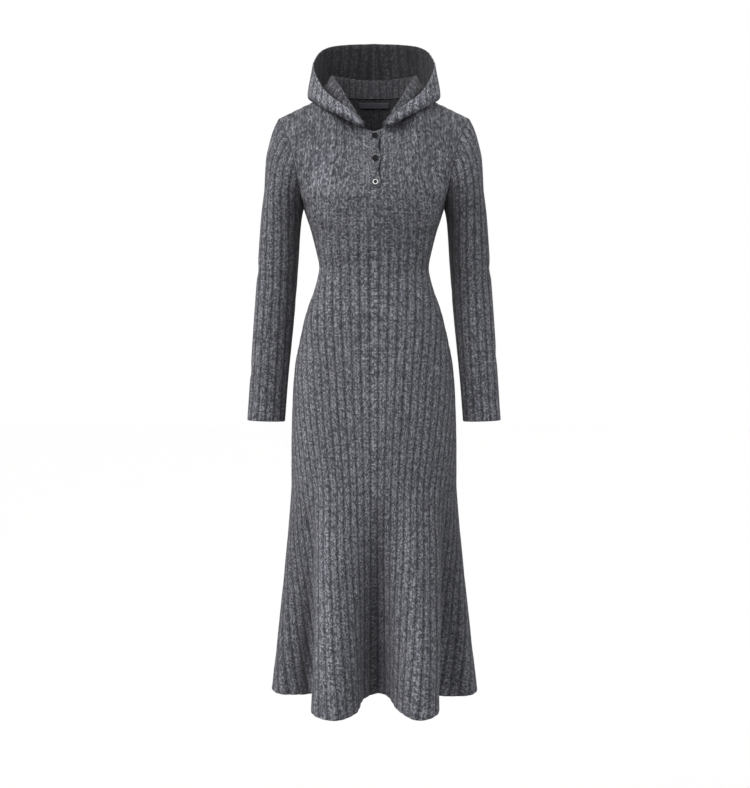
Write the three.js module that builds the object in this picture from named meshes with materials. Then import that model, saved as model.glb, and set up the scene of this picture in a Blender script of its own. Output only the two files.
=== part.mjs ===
import * as THREE from 'three';

// Sweater dress in wide rib knit, filled out with no wearer.
// Millimetres, +Z up, the front faces -Y and +X is the viewer's right.
// The origin lies between the shoulders, level with the two shoulder neck points.

// Cloth
const wall = 1.8;
const ribRise = 1.4;
const hoodWall = 1.6;
const hoodRibRise = 1;
const seamGap = 0.3;
const seamLean = 56;
const walkSteps = 240;
const seamClear = 0.2;

// Shoulders, neck and armholes
const armpitZ = -209;
const tipX = 183;
const tipZ = -48.5;
const neckHalf = 80;
const neckPlanPower = 2.2;
const neck = {
  front: { drop: 84.5, depth: 76, power: 1.4 },
  back: { drop: -4, depth: 60, power: 3 },
};
const armholeBulge = { front: 52, back: 46 };
const shoulderRound = 2.2;
const tipLean = 0.75;
const chestBow = { power: 2.6, reachedAt: 0.3 };
const neckRise = 1.3;
const shoulderFrom = { start: 45, end: 92 };
const frontFlatten = 0.7;
const backFlatten = 0.3;
const skirtStartZ = -760;
const hemZ = -1165;
const foldGrowth = 1.15;
const formPower = 2.15;

// Sections of the body, from the knee up to the armpit
const sections = [
  { name: 'knee', z: -760, half: 158, front: 113, back: 112 },
  { name: 'thigh', z: -640, half: 157, front: 112, back: 114 },
  { name: 'hip', z: -520, half: 150, front: 106, back: 111 },
  { name: 'high hip', z: -430, half: 131, front: 95, back: 96 },
  { name: 'waist', z: -342, half: 104.5, front: 82, back: 74 },
  { name: 'rib cage', z: -275, half: 116, front: 92, back: 80 },
  { name: 'armpit', z: -209, half: 137, front: 104, back: 86 },
];

// Armhole seam seen from the front
const armhole = [
  { name: 'armpit', z: -209, x: 137 },
  { name: 'lower curve', z: -162, x: 146 },
  { name: 'middle', z: -123, x: 154 },
  { name: 'upper curve', z: -82, x: 166.5 },
  { name: 'shoulder tip', z: -48.5, x: 183 },
];

// Folds of the skirt where they meet the hem, all round from the left side seam.
// turn is the place on the section in degrees, 0 in front; drop is how far the hem hangs lower.
const folds = [
  { name: 'left seam', turn: -90, x: -200, y: 30, drop: 0 },
  { name: 'left side flute front', turn: -75, x: -184, y: -6, drop: 2 },
  { name: 'left side flute floor', turn: -60, x: -143, y: -10, drop: 2 },
  { name: 'left valley', turn: -47, x: -106, y: -30, drop: -3 },
  { name: 'left front flute outer wall', turn: -35, x: -115, y: -112, drop: 11 },
  { name: 'left front flute crest', turn: -22, x: -73, y: -150, drop: 15 },
  { name: 'left front flute inner wall', turn: -12, x: -35, y: -112, drop: 11 },
  { name: 'front valley left side', turn: -5, x: -22, y: -66, drop: -3 },
  { name: 'front valley', turn: 2, x: 7, y: -38, drop: -8 },
  { name: 'front valley right side', turn: 8, x: 29, y: -58, drop: -6 },
  { name: 'right front flute inner wall', turn: 15, x: 46, y: -104, drop: 7 },
  { name: 'right front flute crest', turn: 29, x: 82, y: -148, drop: 15 },
  { name: 'right front flute outer wall', turn: 45, x: 120, y: -110, drop: 11 },
  { name: 'right valley', turn: 55, x: 113, y: -28, drop: 2 },
  { name: 'right side flute floor', turn: 65, x: 147, y: -12, drop: 5 },
  { name: 'right side flute front', turn: 78, x: 188, y: -8, drop: 4 },
  { name: 'right seam', turn: 90, x: 202, y: 28, drop: 2 },
  { name: 'right side flute back', turn: 105, x: 181, y: 68, drop: 0 },
  { name: 'right rear valley', turn: 122, x: 126, y: 78, drop: -3 },
  { name: 'right rear flute outer wall', turn: 137, x: 121, y: 128, drop: 3 },
  { name: 'right rear flute crest', turn: 151, x: 80, y: 158, drop: 5 },
  { name: 'right rear flute inner wall', turn: 164, x: 36, y: 126, drop: 3 },
  { name: 'rear valley', turn: 178, x: -4, y: 74, drop: -5 },
  { name: 'left rear flute inner wall', turn: 193, x: -44, y: 124, drop: 3 },
  { name: 'left rear flute crest', turn: 206, x: -88, y: 154, drop: 5 },
  { name: 'left rear flute outer wall', turn: 221, x: -126, y: 122, drop: 3 },
  { name: 'left rear valley', turn: 238, x: -130, y: 76, drop: -3 },
  { name: 'left side flute back', turn: 255, x: -181, y: 68, drop: 0 },
];

// Width of one rib by height
const ribs = [
  { name: 'hem', z: -1165, pitch: 20 },
  { name: 'above the hem', z: -1050, pitch: 16.8 },
  { name: 'shin', z: -950, pitch: 14.2 },
  { name: 'below the knee', z: -860, pitch: 12.9 },
  { name: 'knee', z: -773, pitch: 12.5 },
  { name: 'above the knee', z: -698, pitch: 13.5 },
  { name: 'thigh', z: -624, pitch: 14.8 },
  { name: 'hip', z: -530, pitch: 16.2 },
  { name: 'high hip', z: -435, pitch: 17.6 },
  { name: 'waist', z: -342, pitch: 18.5 },
  { name: 'rib cage', z: -258, pitch: 19.2 },
  { name: 'chest', z: -172, pitch: 17.2 },
  { name: 'upper chest', z: -97, pitch: 16.4 },
  { name: 'shoulder', z: -48.5, pitch: 16 },
];

// Rows of the two body panels below and above the armpit
const lowerRows = [
  -1165, -1110, -1040, -970, -900, -830, -760, -680, -600, -520, -450, -395, -342, -290, -245, -209,
];
const upperSteps = [0.07, 0.22, 0.42, 0.64, 0.84, 0.95, 0.985];

// Sleeve rings from the cuff to the armpit: the underarm seam, the outer line and the half depth
const sleeveRings = [
  { name: 'cuff', z: -632, innerX: 176, outerX: 244, outerZ: -630, depth: 32 },
  { name: 'forearm', z: -530, innerX: 168, outerX: 237, outerZ: -528, depth: 33 },
  { name: 'elbow', z: -430, innerX: 158, outerX: 230, outerZ: -427, depth: 35 },
  { name: 'upper arm', z: -330, innerX: 149.5, outerX: 222, outerZ: -320, depth: 39 },
  { name: 'below armpit', z: -250, innerX: 144.5, outerX: 215.5, outerZ: -232, depth: 45 },
  { name: 'armpit', z: -209, innerX: 137.3, outerX: 209.5, outerZ: -185, depth: 52 },
];

// Outer line of the sleeve cap
const capLine = [
  { name: 'armpit level', z: -185, x: 209.5 },
  { name: 'middle', z: -123, x: 205.8 },
  { name: 'upper', z: -96, x: 200 },
  { name: 'round', z: -70, x: 192.5 },
  { name: 'shoulder tip', z: -48.5, x: 183.5 },
];
const sleevePitch = 15;
const sleeveRows = [-632, -560, -480, -400, -330, -270, -235, -209];
const sleeveSlit = 0.0012;
const capRise = 0.9;
const backOfSleeve = { share: 0.885, from: -330 };

// Hood worn down, one half from the centre front round to the centre back.
// turn is the direction from the neck's middle, out the distance from it, up the height.
// The cloth rises from the neck seam to a ridge, falls into a trough and rises to the rim.
const hood = [
  {
    name: 'front end', turn: 12, ridgeOut: 81, ridgeUp: -66, slopeOut: 87, slopeUp: -67,
    troughOut: 93, troughUp: -75, bulgeOut: 98, bulgeUp: -75, rimOut: 100, rimUp: -69,
  },
  {
    name: 'front', turn: 22, ridgeOut: 80, ridgeUp: -49, slopeOut: 88, slopeUp: -53,
    troughOut: 98, troughUp: -68, bulgeOut: 105, bulgeUp: -64, rimOut: 103, rimUp: -50,
  },
  {
    name: 'collar bone', turn: 36, ridgeOut: 78, ridgeUp: -25, slopeOut: 90, slopeUp: -33,
    troughOut: 103, troughUp: -54, bulgeOut: 111, bulgeUp: -49, rimOut: 107, rimUp: -31,
  },
  {
    name: 'front quarter', turn: 54, ridgeOut: 76, ridgeUp: 6, slopeOut: 91, slopeUp: -6,
    troughOut: 108, troughUp: -38, bulgeOut: 117, bulgeUp: -30, rimOut: 110, rimUp: -7,
  },
  {
    name: 'before the side', turn: 70, ridgeOut: 77, ridgeUp: 25, slopeOut: 93, slopeUp: 9,
    troughOut: 112, troughUp: -23, bulgeOut: 122, bulgeUp: -14, rimOut: 114, rimUp: 24,
  },
  {
    name: 'neck side', turn: 84, ridgeOut: 78, ridgeUp: 36, slopeOut: 95, slopeUp: 20,
    troughOut: 114, troughUp: -7, bulgeOut: 125, bulgeUp: -8, rimOut: 116, rimUp: 49,
  },
  {
    name: 'behind the side', turn: 108, ridgeOut: 80, ridgeUp: 42, slopeOut: 99, slopeUp: 20,
    troughOut: 117, troughUp: -10, bulgeOut: 122.5, bulgeUp: -6, rimOut: 119.5, rimUp: 78,
  },
  {
    name: 'back quarter', turn: 138, ridgeOut: 80, ridgeUp: 45, slopeOut: 100, slopeUp: 14,
    troughOut: 121, troughUp: -26, bulgeOut: 140, bulgeUp: 3, rimOut: 134, rimUp: 113.5,
  },
  {
    name: 'near the back', turn: 158, ridgeOut: 75, ridgeUp: 43, slopeOut: 97, slopeUp: 10,
    troughOut: 120, troughUp: -37, bulgeOut: 143, bulgeUp: -2, rimOut: 132, rimUp: 124,
  },
  {
    name: 'centre back', turn: 180, ridgeOut: 72, ridgeUp: 42, slopeOut: 96, slopeUp: 6,
    troughOut: 119, troughUp: -44, bulgeOut: 144, bulgeUp: -6, rimOut: 128, rimUp: 127,
  },
];
const hoodRibs = 20;
const hoodLift = 1.5;
const hoodRows = [0, 0.1, 0.17, 0.23, 0.32, 0.44, 0.52, 0.58, 0.64, 0.7, 0.8, 0.9, 1];

// Placket, buttons and label
const placket = { left: -12.5, right: 10.5, bottomStep: 0.13, wall: 2, rise: 0.8 };
const buttons = [
  { name: 'button_1', z: -93, x: 1.5, radius: 5.5, color: 0x2a2629 },
  { name: 'button_2', z: -137, x: 2.5, radius: 5.5, color: 0x25262a },
  { name: 'button_3', z: -182, x: 3, radius: 5.2, color: 0xe9e9ea },
];
const buttonThick = 2.4;
const label = { half: 29.5, high: 11, below: 9, thick: 0.8, pitch: 16 };

const cloth = new THREE.MeshStandardMaterial({ color: 0x55565c, roughness: 0.95, metalness: 0 });
const labelCloth = new THREE.MeshStandardMaterial({ color: 0x23242c, roughness: 0.8, metalness: 0 });

const degrees = Math.PI / 180;
const clamp = THREE.MathUtils.clamp;
const lerp = THREE.MathUtils.lerp;

// Smooth value of one column of a table at a place between its rows
function column(table, key, at, name) {
  const last = table.length - 1;
  const place = clamp(at, table[0][key], table[last][key]);
  let row = 0;
  while (row < last - 1 && table[row + 1][key] < place) row += 1;
  const slopeAt = (index) => {
    const low = table[Math.max(index - 1, 0)];
    const high = table[Math.min(index + 1, last)];
    return (high[name] - low[name]) / (high[key] - low[key]);
  };
  const [a, b] = [table[row], table[row + 1]];
  const span = b[key] - a[key];
  const t = (place - a[key]) / span;
  const rise = t * t * (3 - 2 * t);
  const bend = slopeAt(row) * t * (1 - t) * (1 - t) - slopeAt(row + 1) * t * t * (1 - t);
  return lerp(a[name], b[name], rise) + bend * span;
}

// The folds repeated once on each side, so that their spline closes on itself
const foldRing = [
  ...folds.map((fold) => ({ ...fold, turn: fold.turn - 360 })),
  ...folds,
  ...folds.map((fold) => ({ ...fold, turn: fold.turn + 360 })),
];

const power = (value, exponent) => Math.sign(value) * Math.abs(value) ** exponent;

// Share of the way from the chest form to the top edge
function shoulderTurn(step) {
  return 1 - (1 - step ** shoulderRound) ** (1 / shoulderRound);
}

// Armhole seam at a step from the armpit (0) to the shoulder tip (1)
function armholeSeam(side, step) {
  const z = lerp(armpitZ, tipZ, step);
  const bulge = armholeBulge[side < 0 ? 'front' : 'back'];
  const y = side * bulge * 2 * Math.sqrt(step * (1 - step)) * (1 - shoulderTurn(step));
  return new THREE.Vector3(column(armhole, 'z', z, 'x'), y, z);
}

// Direction of the wall at the armhole seam, shared by the body and the sleeve
function armholeWay(side, step, across) {
  const round = 2 * Math.sqrt(Math.max(step * (1 - step), 0));
  return new THREE.Vector3(across * tipLean * step, side * round, 2 * step - 1).normalize();
}

// Top edge of a body panel at a distance across: the neckline, then the shoulder seam
function topEdge(side, x) {
  const across = Math.abs(x);
  if (across >= neckHalf) {
    return { y: 0, z: (tipZ * (across - neckHalf)) / (tipX - neckHalf) };
  }
  const { drop, depth, power: rise } = neck[side < 0 ? 'front' : 'back'];
  const share = across / neckHalf;
  return {
    y: side * depth * (1 - share ** neckPlanPower) ** (1 / neckPlanPower),
    z: -drop * (1 - share ** rise) ** (1 / rise),
  };
}

// Point on the inside of a body panel; u runs -1 to 1 from seam to seam, z is the height at the seam
function bodyPoint(side, u, z) {
  const turn = side < 0 ? u * 90 : 180 + u * 90;
  const depthName = side < 0 ? 'front' : 'back';
  const share = power(Math.sin(turn * degrees), 2 / formPower);
  const shift = (side * seamGap) / 2;
  if (z <= armpitZ) {
    const half = column(sections, 'z', z, 'half');
    const depth = column(sections, 'z', z, depthName);
    const away = Math.abs(Math.cos(turn * degrees)) ** (2 / formPower);
    const point = new THREE.Vector3(half * share, side * depth * away, z);
    const grown = clamp((skirtStartZ - z) / (skirtStartZ - hemZ), 0, 1.1) ** foldGrowth;
    if (grown > 0) {
      const at = (name) => column(foldRing, 'turn', turn, name);
      point.lerp(new THREE.Vector3(at('x'), at('y'), z), grown);
      point.z = z - at('drop') * grown;
    }
    point.y += shift;
    return point;
  }
  const step = clamp((z - armpitZ) / (tipZ - armpitZ), 0, 1);
  const seam = armholeSeam(side, step);
  const flat = THREE.MathUtils.smoothstep(step, 0, chestBow.reachedAt);
  const across = Math.min(Math.abs(share), 1);
  const bow = (1 - across ** lerp(formPower, chestBow.power, flat)) ** lerp(1 / formPower, 1, flat);
  const top = topEdge(side, tipX * share);
  const middle = side * column(sections, 'z', armpitZ, depthName);
  const seamY = side * armholeBulge[depthName] * 2 * Math.sqrt(step * (1 - step));
  const nearShoulder = THREE.MathUtils.smoothstep(tipX * across, shoulderFrom.start, shoulderFrom.end);
  const towardTop = lerp(step ** neckRise, shoulderTurn(step), nearShoulder);
  return new THREE.Vector3(
    seam.x * share,
    lerp(lerp(seamY, middle, bow), top.y, towardTop) + shift,
    lerp(armpitZ, top.z, step),
  );
}

// Outward direction of a surface from small steps on it
function surfaceWay(point, u, v, uRange, vRange) {
  const du = (uRange[1] - uRange[0]) * 0.002;
  const dv = (vRange[1] - vRange[0]) * 0.002;
  const across = point(clamp(u + du, ...uRange), v).sub(point(clamp(u - du, ...uRange), v));
  const up = point(u, clamp(v + dv, ...vRange)).sub(point(u, clamp(v - dv, ...vRange)));
  return across.cross(up).normalize();
}

const shoulderWay = new THREE.Vector3(-tipZ, 0, tipX - neckHalf).normalize();

// Wall direction that leans toward the shared seam direction close to the armhole
function leanToSeam(way, seamWay, distance) {
  return way.lerp(seamWay, clamp(1 - distance / seamLean, 0, 1)).normalize();
}

function bodyWay(side, u, z) {
  const point = (a, b) => bodyPoint(side, a, b);
  const here = point(u, z);
  const acrossSign = Math.sign(here.x) || 1;
  const step = (z - armpitZ) / (tipZ - armpitZ);
  if (step >= 0 && Math.abs(u) === 1) return armholeWay(side, step, acrossSign);
  const onShoulder = Math.abs(here.x) >= neckHalf;
  if (step === 1 && onShoulder) return shoulderWay.clone().multiply(new THREE.Vector3(acrossSign, 1, 1));
  const way = surfaceWay(point, u, z, [-1, 1], [hemZ, tipZ]);
  if (step < 0) return way;
  return leanToSeam(way, armholeWay(side, step, acrossSign), here.distanceTo(point(Math.sign(u) || 1, z)));
}

// Point on the inside of a sleeve; u runs -1 to 1 round it, z is the height at its seam
function sleevePoint(sign, u, z) {
  const step = clamp((z - armpitZ) / (tipZ - armpitZ), 0, 1);
  const ring = (name) => column(sleeveRings, 'z', Math.min(z, armpitZ), name);
  const onCap = step > 0;
  const side = sign * u < 0 ? -1 : 1;
  const seam = armholeSeam(side, step);
  const half = onCap ? Math.acos(2 * step - 1) : Math.PI;
  const outerZ = onCap ? lerp(capLine[0].z, tipZ, step ** capRise) : ring('outerZ');
  const outerX = onCap ? column(capLine, 'z', outerZ, 'x') : ring('outerX');
  const seamX = onCap ? seam.x + seamGap : ring('innerX');
  const depthFront = onCap ? Math.abs(seam.y) / Math.sin(half) : ring('depth');
  const depth = side < 0 || onCap ? depthFront : depthFront * backShare(z);
  const reach = 1 - Math.cos(half);
  const radius = (outerX - seamX) / reach;
  const climb = (outerZ - z) / reach;
  const angle = u * half;
  return new THREE.Vector3(
    sign * (outerX - radius * (1 - Math.cos(angle))),
    sign * depth * Math.sin(angle),
    outerZ - climb * (1 - Math.cos(angle)),
  );
}

// The back of the sleeve is a little shallower close under the armhole
function backShare(z) {
  return lerp(1, backOfSleeve.share, THREE.MathUtils.smoothstep(z, backOfSleeve.from, armpitZ));
}

function sleeveWay(sign, u, z) {
  const step = (z - armpitZ) / (tipZ - armpitZ);
  const side = sign * u < 0 ? -1 : 1;
  const point = (a, b) => sleevePoint(sign, a, b);
  const way = surfaceWay(point, u, z, [-1, 1], [sleeveRings[0].z, tipZ - 2]);
  if (step < 0) return way;
  const distance = Math.max(point(u, z).distanceTo(point(Math.sign(u) || 1, z)) - seamGap, 0);
  return leanToSeam(way, armholeWay(side, step, sign), distance);
}

// Neck seam of the hood, just above the neckline of the body panels
function neckSeam(turn) {
  const side = turn <= 90 ? -1 : 1;
  const x = Math.max(neckHalf * Math.sin(turn * degrees), 0);
  const edge = topEdge(side, x);
  return new THREE.Vector3(x, edge.y + (side * seamGap) / 2, edge.z);
}

// Point on the hood; u runs from the front end (0) to the centre back (1), v from seam to rim
function hoodPoint(u, v) {
  const first = hood[0].turn;
  const turn = lerp(first, 180, u);
  const seam = neckSeam(turn);
  const at = (name) => column(hood, 'turn', turn, name);
  const place = (name) => new THREE.Vector3(
    at(`${name}Out`) * Math.sin(turn * degrees),
    -at(`${name}Out`) * Math.cos(turn * degrees),
    at(`${name}Up`),
  );
  const lift = seam.clone().add(new THREE.Vector3(0, 0, hoodLift));
  const path = new THREE.CatmullRomCurve3(
    [lift, place('ridge'), place('slope'), place('trough'), place('bulge'), place('rim')],
  );
  return path.getPoint(v);
}

// Places of a row's columns: s is measured from the middle of the row, one key for each half rib
function rowColumns(point, v, options) {
  const { uRange, pitch, flatten = 0, span } = options;
  const middle = (uRange[0] + uRange[1]) / 2;
  const walk = (end) => {
    const list = [{ u: middle, s: 0 }];
    let before = point(middle, v);
    for (let i = 1; i <= walkSteps; i += 1) {
      const u = lerp(middle, end, i / walkSteps);
      const here = point(u, v);
      const move = here.clone().sub(before);
      const length = Math.hypot(move.x, move.y * (1 - flatten), move.z * (1 - flatten));
      list.push({ u, s: list[i - 1].s + length });
      before = here;
    }
    return list;
  };
  const find = (list, s) => {
    let i = 1;
    while (i < list.length - 1 && list[i].s < s) i += 1;
    const share = clamp((s - list[i - 1].s) / (list[i].s - list[i - 1].s || 1), 0, 1);
    return lerp(list[i - 1].u, list[i].u, share);
  };
  const [left, right] = [walk(uRange[0]), walk(uRange[1])];
  const ends = span || [-left[walkSteps].s, right[walkSteps].s];
  const uAt = (s) => (s < 0 ? find(left, -s) : find(right, s));
  const half = pitch / 2;
  const keys = [];
  for (let key = Math.ceil(ends[0] / half); key <= Math.floor(ends[1] / half); key += 1) keys.push(key);
  const clear = seamClear * half;
  const inside = keys.filter((key) => key * half > ends[0] + clear && key * half < ends[1] - clear);
  const places = inside.map((key) => ({ key, u: uAt(key * half) }));
  const first = { key: ends[0] / half, u: span ? uAt(ends[0]) : uRange[0] };
  const last = { key: ends[1] / half, u: span ? uAt(ends[1]) : uRange[1] };
  return [first, ...places, last];
}

// Height of the rib at a key: 1 on its crown at even keys, 0 in the groove at odd keys
function crown(key) {
  const near = Math.abs(key) % 2;
  return near < 1 ? 1 - near : near - 1;
}

// Triangles between two rows whose columns may differ
function zip(low, high, faces) {
  let [i, j] = [0, 0];
  while (i < low.length - 1 || j < high.length - 1) {
    const lowDone = i === low.length - 1;
    const highDone = j === high.length - 1;
    const lowNext = lowDone ? Infinity : low[i].key + low[i + 1].key;
    const highNext = highDone ? Infinity : high[j].key + high[j + 1].key;
    if (lowNext <= highNext) {
      faces.push(low[i].id, low[i + 1].id, high[j].id);
      i += 1;
    } else {
      faces.push(low[i].id, high[j + 1].id, high[j].id);
      j += 1;
    }
  }
}

// A closed wall with a plain inside and ribs raised on its outside
function ribbedSheet(name, rows, options) {
  const positions = [];
  const faces = [];
  const add = (place, offset, v) => {
    const spot = options.point(place.u, v).addScaledVector(options.way(place.u, v), offset);
    positions.push(spot.x, spot.y, spot.z);
    return { key: place.key, id: positions.length / 3 - 1 };
  };
  const lift = options.lift || 0;
  const outer = [];
  const inner = [];
  for (const v of rows) {
    const places = options.columns(v);
    const lastPlace = places.length - 1;
    const plain = places.filter((place, i) => (
      i === 0 || i === lastPlace || options.fineInside || Math.abs(place.key) % 2 === 1
    ));
    outer.push(places.map((place) => add(place, lift + options.wall + options.rise * crown(place.key), v)));
    inner.push(plain.map((place) => add(place, lift, v)));
  }
  const top = rows.length - 1;
  for (let row = 0; row < top; row += 1) {
    zip(outer[row], outer[row + 1], faces);
    const inside = [];
    zip(inner[row], inner[row + 1], inside);
    for (let i = 0; i < inside.length; i += 3) faces.push(inside[i], inside[i + 2], inside[i + 1]);
    const [a, b, c, d] = [inner[row][0].id, outer[row][0].id, outer[row + 1][0].id, inner[row + 1][0].id];
    faces.push(a, b, c, a, c, d);
    const [e, f, g, h] = [outer[row].at(-1).id, inner[row].at(-1).id, inner[row + 1].at(-1).id,
      outer[row + 1].at(-1).id];
    faces.push(e, f, g, e, g, h);
  }
  zip(inner[0], outer[0], faces);
  zip(outer[top], inner[top], faces);
  const geometry = new THREE.BufferGeometry();
  geometry.setAttribute('position', new THREE.Float32BufferAttribute(positions, 3));
  geometry.setIndex(faces);
  geometry.computeVertexNormals();
  const mesh = new THREE.Mesh(geometry, options.material || cloth);
  mesh.name = name;
  return mesh;
}

const upperRows = upperSteps.map((step) => lerp(armpitZ, tipZ, step));

function bodyColumns(side, z, span) {
  const step = clamp((z - armpitZ) / (tipZ - armpitZ), 0, 1);
  const point = (u, v) => bodyPoint(side, u, v);
  const pitch = column(ribs, 'z', z, 'pitch');
  const flatten = side < 0 ? frontFlatten : backFlatten;
  return rowColumns(point, z, { uRange: [-1, 1], pitch, flatten: flatten * step, span });
}

function buildPanel(name, side) {
  return ribbedSheet(name, [...lowerRows, ...upperRows, tipZ], {
    point: (u, z) => bodyPoint(side, u, z),
    way: (u, z) => bodyWay(side, u, z),
    columns: (z) => bodyColumns(side, z),
    wall,
    rise: ribRise,
  });
}

function buildSleeve(name, sign) {
  const rows = [...sleeveRows, ...upperRows];
  const point = (u, z) => sleevePoint(sign, u, z);
  return ribbedSheet(name, rows, {
    point,
    way: (u, z) => sleeveWay(sign, u, z),
    columns: (z) => {
      const end = 1 - (z < armpitZ ? sleeveSlit : sleeveSlit / 4);
      return rowColumns(point, z, { uRange: [-end, end], pitch: sleevePitch });
    },
    wall,
    rise: ribRise,
  });
}

function buildHoodHalf(name, sign) {
  const toU = (u) => (sign > 0 ? u : 1 - u);
  const place = (u, v) => {
    const spot = hoodPoint(toU(u), v);
    spot.x = Math.max(spot.x, seamGap / 2) * sign;
    return spot;
  };
  const way = (u, v) => {
    if (v === 0) {
      const seam = neckSeam(lerp(hood[0].turn, 180, toU(u)));
      const side = seam.y < 0 ? -1 : 1;
      const share = Math.asin((seam.x / tipX) ** (formPower / 2)) / (90 * degrees);
      const found = bodyWay(side, side < 0 ? share : -share, tipZ);
      return found.multiply(new THREE.Vector3(sign, 1, 1));
    }
    const found = surfaceWay(place, u, v, [0, 1], [0, 1]);
    if (toU(u) === 1) found.setX(0).normalize();
    return found;
  };
  return ribbedSheet(name, hoodRows, {
    point: place,
    way,
    columns: () => Array.from({ length: 2 * hoodRibs + 1 }, (_, key) => ({ key, u: key / (2 * hoodRibs) })),
    wall: hoodWall,
    rise: hoodRibRise,
  });
}

function buildPlacket() {
  const rows = [placket.bottomStep, ...upperSteps.slice(1), 1].map((step) => lerp(armpitZ, tipZ, step));
  return ribbedSheet('placket', rows, {
    point: (u, z) => bodyPoint(-1, u, z),
    way: (u, z) => bodyWay(-1, u, z),
    columns: (z) => bodyColumns(-1, z, [placket.left, placket.right]),
    lift: wall + ribRise + seamGap,
    wall: placket.wall,
    rise: placket.rise,
    fineInside: true,
  });
}

// Height at the seam of the row that passes a given height at the centre front
function seamHeight(z) {
  const centreTop = -neck.front.drop;
  return lerp(armpitZ, tipZ, (z - armpitZ) / (centreTop - armpitZ));
}

function buildButton({ name, z, x, radius, color }) {
  const half = buttonThick / 2;
  const profile = [
    [0, -half], [radius - 0.6, -half], [radius, -half + 0.6], [radius, half - 0.5],
    [radius - 0.5, half], [radius - 1.4, half], [radius - 2, half - 0.7], [0, half - 0.7],
  ].map(([r, h]) => new THREE.Vector2(r, h));
  const geometry = new THREE.LatheGeometry(profile, 24);
  const material = new THREE.MeshStandardMaterial({ color, roughness: 0.4, metalness: 0 });
  const mesh = new THREE.Mesh(geometry, material);
  mesh.name = name;
  const row = seamHeight(z);
  const u = (2 / Math.PI) * Math.asin(power(x / armholeSeam(-1, 0.5).x, formPower / 2));
  const way = bodyWay(-1, u, row);
  const lift = wall + ribRise + placket.wall + placket.rise + 2 * seamGap + half;
  mesh.position.copy(bodyPoint(-1, u, row)).addScaledVector(way, lift);
  mesh.quaternion.setFromUnitVectors(new THREE.Vector3(0, 1, 0), way);
  return mesh;
}

// The label hangs inside the back panel, just below the neck seam
function buildLabel() {
  const top = seamHeightBack(-neck.back.drop - label.below);
  const bottom = seamHeightBack(-neck.back.drop - label.below - label.high);
  const point = (u, z) => bodyPoint(1, u, z);
  const rows = [bottom, (top + bottom) / 2, top];
  return ribbedSheet('label', rows, {
    point,
    way: (u, z) => bodyWay(1, u, z),
    columns: (z) => rowColumns(point, z, { uRange: [-1, 1], pitch: label.pitch, span: [-label.half, label.half] }),
    lift: -1.4 * seamGap - label.thick,
    wall: label.thick,
    rise: 0,
    fineInside: true,
    material: labelCloth,
  });
}

function seamHeightBack(z) {
  return lerp(armpitZ, tipZ, (z - armpitZ) / (-neck.back.drop - armpitZ));
}

const group = new THREE.Group();
group.name = 'sweater_dress';
group.add(
  buildPanel('front', -1),
  buildPanel('back', 1),
  buildSleeve('sleeve_left', -1),
  buildSleeve('sleeve_right', 1),
  buildHoodHalf('hood_left', -1),
  buildHoodHalf('hood_right', 1),
  buildPlacket(),
  ...buttons.map(buildButton),
  buildLabel(),
);

export default group;
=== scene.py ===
import bisect
import math
import bmesh
import bpy
from mathutils import Matrix, Vector


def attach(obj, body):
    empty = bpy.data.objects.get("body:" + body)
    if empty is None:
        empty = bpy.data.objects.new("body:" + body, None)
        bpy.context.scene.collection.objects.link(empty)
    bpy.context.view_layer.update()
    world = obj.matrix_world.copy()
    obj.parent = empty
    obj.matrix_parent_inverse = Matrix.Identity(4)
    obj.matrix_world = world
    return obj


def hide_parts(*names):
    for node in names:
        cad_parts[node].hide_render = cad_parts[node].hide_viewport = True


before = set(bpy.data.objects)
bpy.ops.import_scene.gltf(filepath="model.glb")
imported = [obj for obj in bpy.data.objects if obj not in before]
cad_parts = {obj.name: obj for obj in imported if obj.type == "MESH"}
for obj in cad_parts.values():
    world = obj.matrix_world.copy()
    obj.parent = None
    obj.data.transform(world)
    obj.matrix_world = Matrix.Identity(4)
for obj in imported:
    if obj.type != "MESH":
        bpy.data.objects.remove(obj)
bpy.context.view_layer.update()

mm = 0.001  # sizes are in millimetres, and a mesh becomes metres as it is finished

# Camera at the photograph's viewing angle
view = {"place": (1.95, -2598, -488), "target": (1.95, 0, -579), "lens": 60.9, "sensor": 36}

cameraData = bpy.data.cameras.new("camera")
cameraData.lens = view["lens"]
cameraData.sensor_width = view["sensor"]
camera = bpy.data.objects.new("camera", cameraData)
bpy.context.scene.collection.objects.link(camera)
camera.location = Vector(view["place"]) * mm
aim = Vector(view["target"]) - Vector(view["place"])
camera.rotation_euler = aim.to_track_quat("-Z", "Y").to_euler()
bpy.context.scene.camera = camera
print("camera placed")

# The cut of the whole dress, with the values that the solids have
cut = {
    "wall": 1.8, "ribRise": 1.4, "seamLean": 56, "armpitZ": -209, "tipX": 183, "tipZ": -48.5,
    "neckHalf": 80, "neckPower": {-1: 1.4, 1: 3}, "neckPlanPower": 2.2,
    "neckDrop": {-1: 84.5, 1: -4}, "neckDepth": {-1: 76, 1: 60}, "armholeBulge": {-1: 52, 1: 46},
    "shoulderRound": 2.2, "skirtStartZ": -760, "hemZ": -1165, "foldGrowth": 1.15, "formPower": 2.15,
}


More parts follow.
